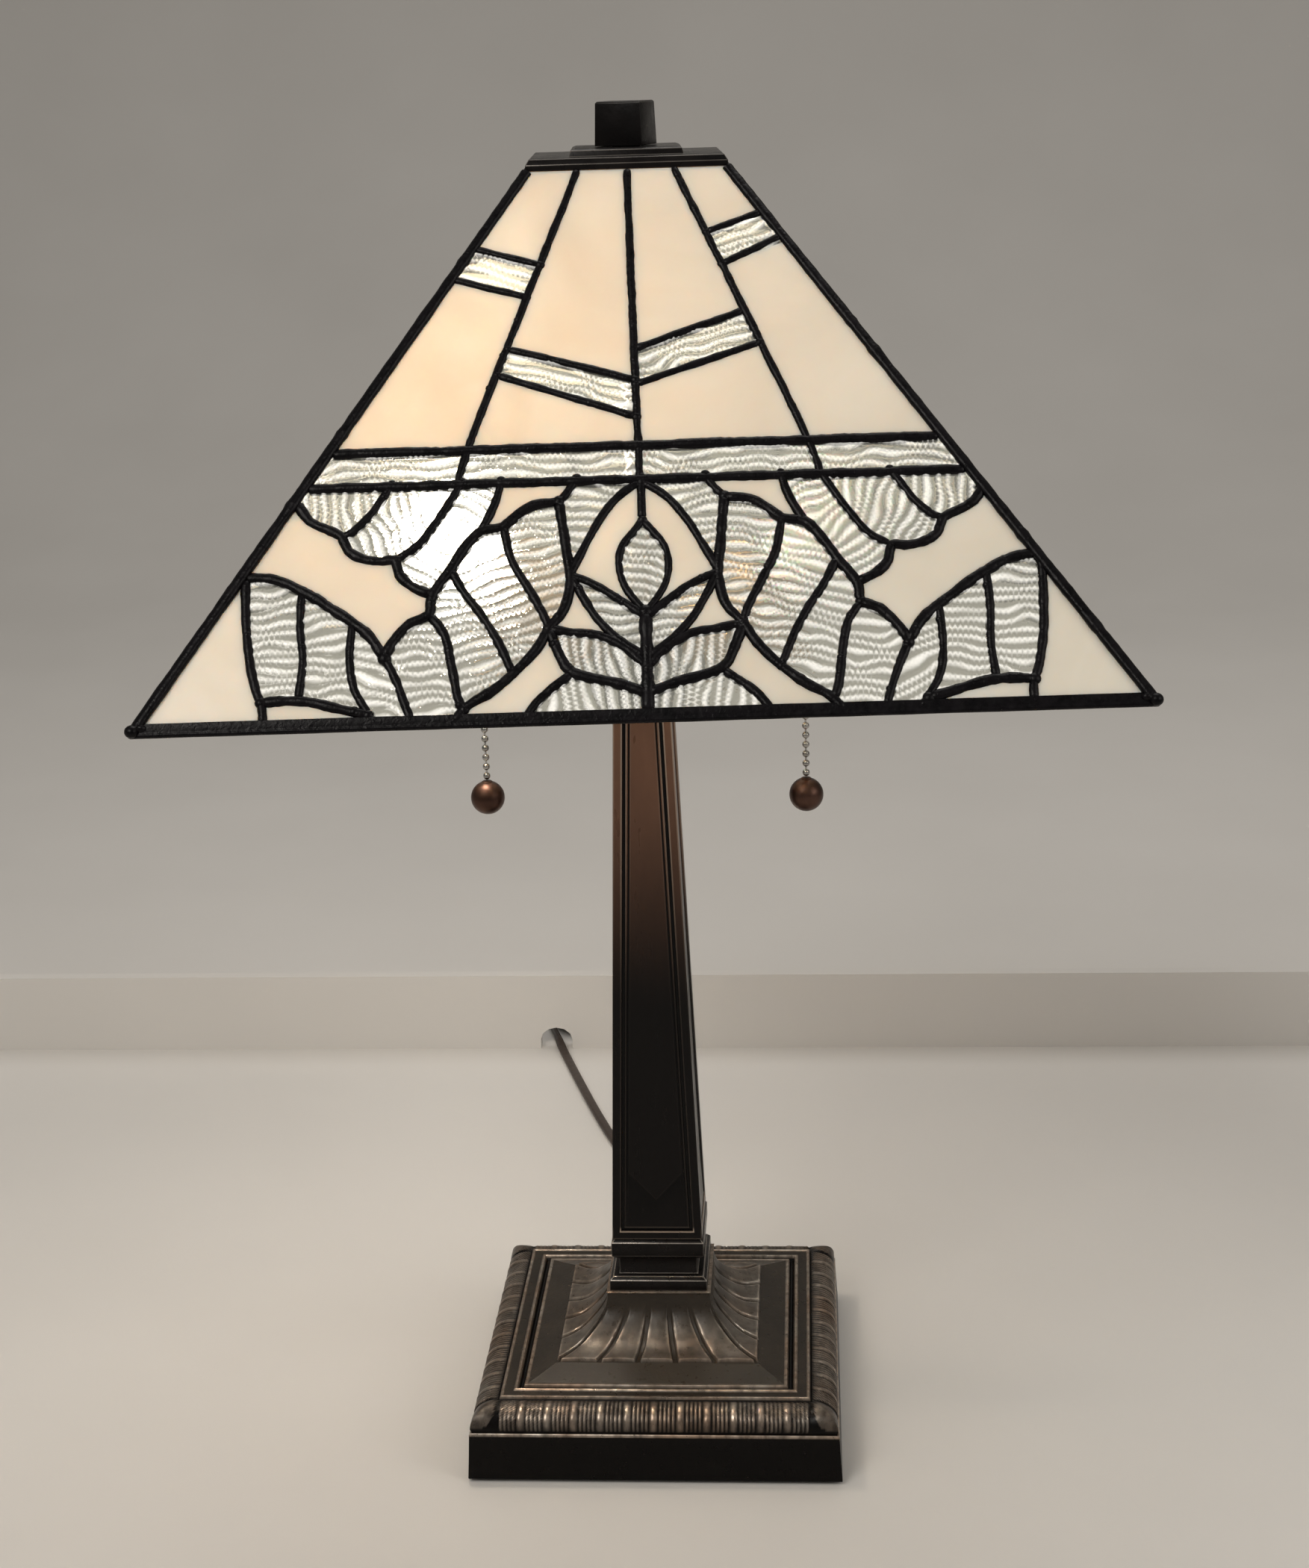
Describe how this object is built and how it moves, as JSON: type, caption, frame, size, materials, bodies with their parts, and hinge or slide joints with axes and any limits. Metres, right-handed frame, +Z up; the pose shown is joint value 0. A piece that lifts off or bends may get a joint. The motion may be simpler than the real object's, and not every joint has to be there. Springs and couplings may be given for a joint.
{
  "type": "stained glass table lamp",
  "caption": "Square cast base and tapered square column carrying a twin pull chain socket cluster under a four-sided leaded glass shade.",
  "frame": {"origin": "centre of the base's underside, on the surface that the lamp stands on", "axes": "+Z up along the rod, -Y out of the front of the base, +X to the right seen from the front"},
  "size_m": [0.3892, 0.6882, 0.5808],
  "materials": {
    "ball": "dark copper, satin",
    "black_bronze": "satin black bronze paint",
    "brass": "aged brass",
    "bulb_glass": "frosted",
    "card": "vulcanised fibre",
    "cord_vinyl": "brown vinyl, satin",
    "felt": "felt",
    "lead": "black patina solder, lumpy",
    "nickel": "nickel plated",
    "opal_glass": "cream opal sheet glass with clear rippled pieces",
    "phenolic": "moulded black",
    "rubbed_bronze": "dark bronze paint rubbed back to copper on the edges",
    "steel": "plain zinc plated"
  },
  "bodies": {
    "base": {"base_casting": "rubbed_bronze", "felt_pad": "felt", "rod_washer": "steel", "rod_nut": "steel", "lamp_rod": "steel", "collar": "black_bronze", "column": "rubbed_bronze", "column_cap": "black_bronze", "cluster_body": "black_bronze", "seat_nut": "brass", "cord_bushing": "phenolic", "power_cord": "cord_vinyl", "cord_tail": "cord_vinyl", "cord_coil": "cord_vinyl", "plug_body": "cord_vinyl", "plug_blade_neutral": "brass", "plug_blade_live": "brass", "socket_arm_left": "black_bronze", "socket_cap_left": "brass", "socket_shell_left": "brass", "socket_liner_left": "card", "socket_core_left": "phenolic", "chain_guide_left": "brass", "socket_arm_right": "black_bronze", "socket_cap_right": "brass", "socket_shell_right": "brass", "socket_liner_right": "card", "socket_core_right": "phenolic", "chain_guide_right": "brass"},
    "shade": {"glass_panel_front": "opal_glass", "lead_lines_front": "lead", "corner_came_front_right": "lead", "glass_panel_right": "opal_glass", "lead_lines_right": "lead", "corner_came_right_back": "lead", "glass_panel_back": "opal_glass", "lead_lines_back": "lead", "corner_came_back_left": "lead", "glass_panel_left": "opal_glass", "lead_lines_left": "lead", "corner_came_left_front": "lead", "shade_rim": "lead", "top_ring": "brass", "shade_cap": "black_bronze"},
    "finial": {"finial": "black_bronze"},
    "bulb_left": {"bulb_base_left": "brass", "bulb_glass_left": "bulb_glass"},
    "pull_left": {"chain_coupling_left": "nickel"},
    "chain_left": {"pull_chain_left": "nickel", "ball_pull_left": "ball"},
    "bulb_right": {"bulb_base_right": "brass", "bulb_glass_right": "bulb_glass"},
    "pull_right": {"chain_coupling_right": "nickel"},
    "chain_right": {"pull_chain_right": "nickel", "ball_pull_right": "ball"}
  },
  "joints": [
    {"name": "shade_turn", "type": "hinge", "parent": "base", "child": "shade", "pos_m": [0, 0, 0.45], "axis": [0, 0, 1], "continuous": true},
    {"name": "finial_turn", "type": "hinge", "parent": "base", "child": "finial", "pos_m": [0, 0, 0.57], "axis": [0, 0, 1], "continuous": true},
    {"name": "bulb_turn_left", "type": "hinge", "parent": "base", "child": "bulb_left", "pos_m": [-0.019, 0, 0.3539], "axis": [-0.766, 0, 0.6428], "continuous": true},
    {"name": "pull_slide_left", "type": "slide", "parent": "base", "child": "pull_left", "axis": [0, 0, -1], "range_m": [0, 0.012], "stiffness_N_per_m": 700, "springref_m": -0.004},
    {"name": "chain_swing_left", "type": "hinge", "parent": "pull_left", "child": "chain_left", "pos_m": [-0.0694, 0, 0.34], "axis": [0, 1, 0], "range_deg": [-30, 30]},
    {"name": "bulb_turn_right", "type": "hinge", "parent": "base", "child": "bulb_right", "pos_m": [0.019, 0, 0.3539], "axis": [0.766, 0, 0.6428], "continuous": true},
    {"name": "pull_slide_right", "type": "slide", "parent": "base", "child": "pull_right", "axis": [0, 0, -1], "range_m": [0, 0.012], "stiffness_N_per_m": 700, "springref_m": -0.004},
    {"name": "chain_swing_right", "type": "hinge", "parent": "pull_right", "child": "chain_right", "pos_m": [0.0694, 0, 0.34], "axis": [0, 1, 0], "range_deg": [-30, 30]}
  ]
}
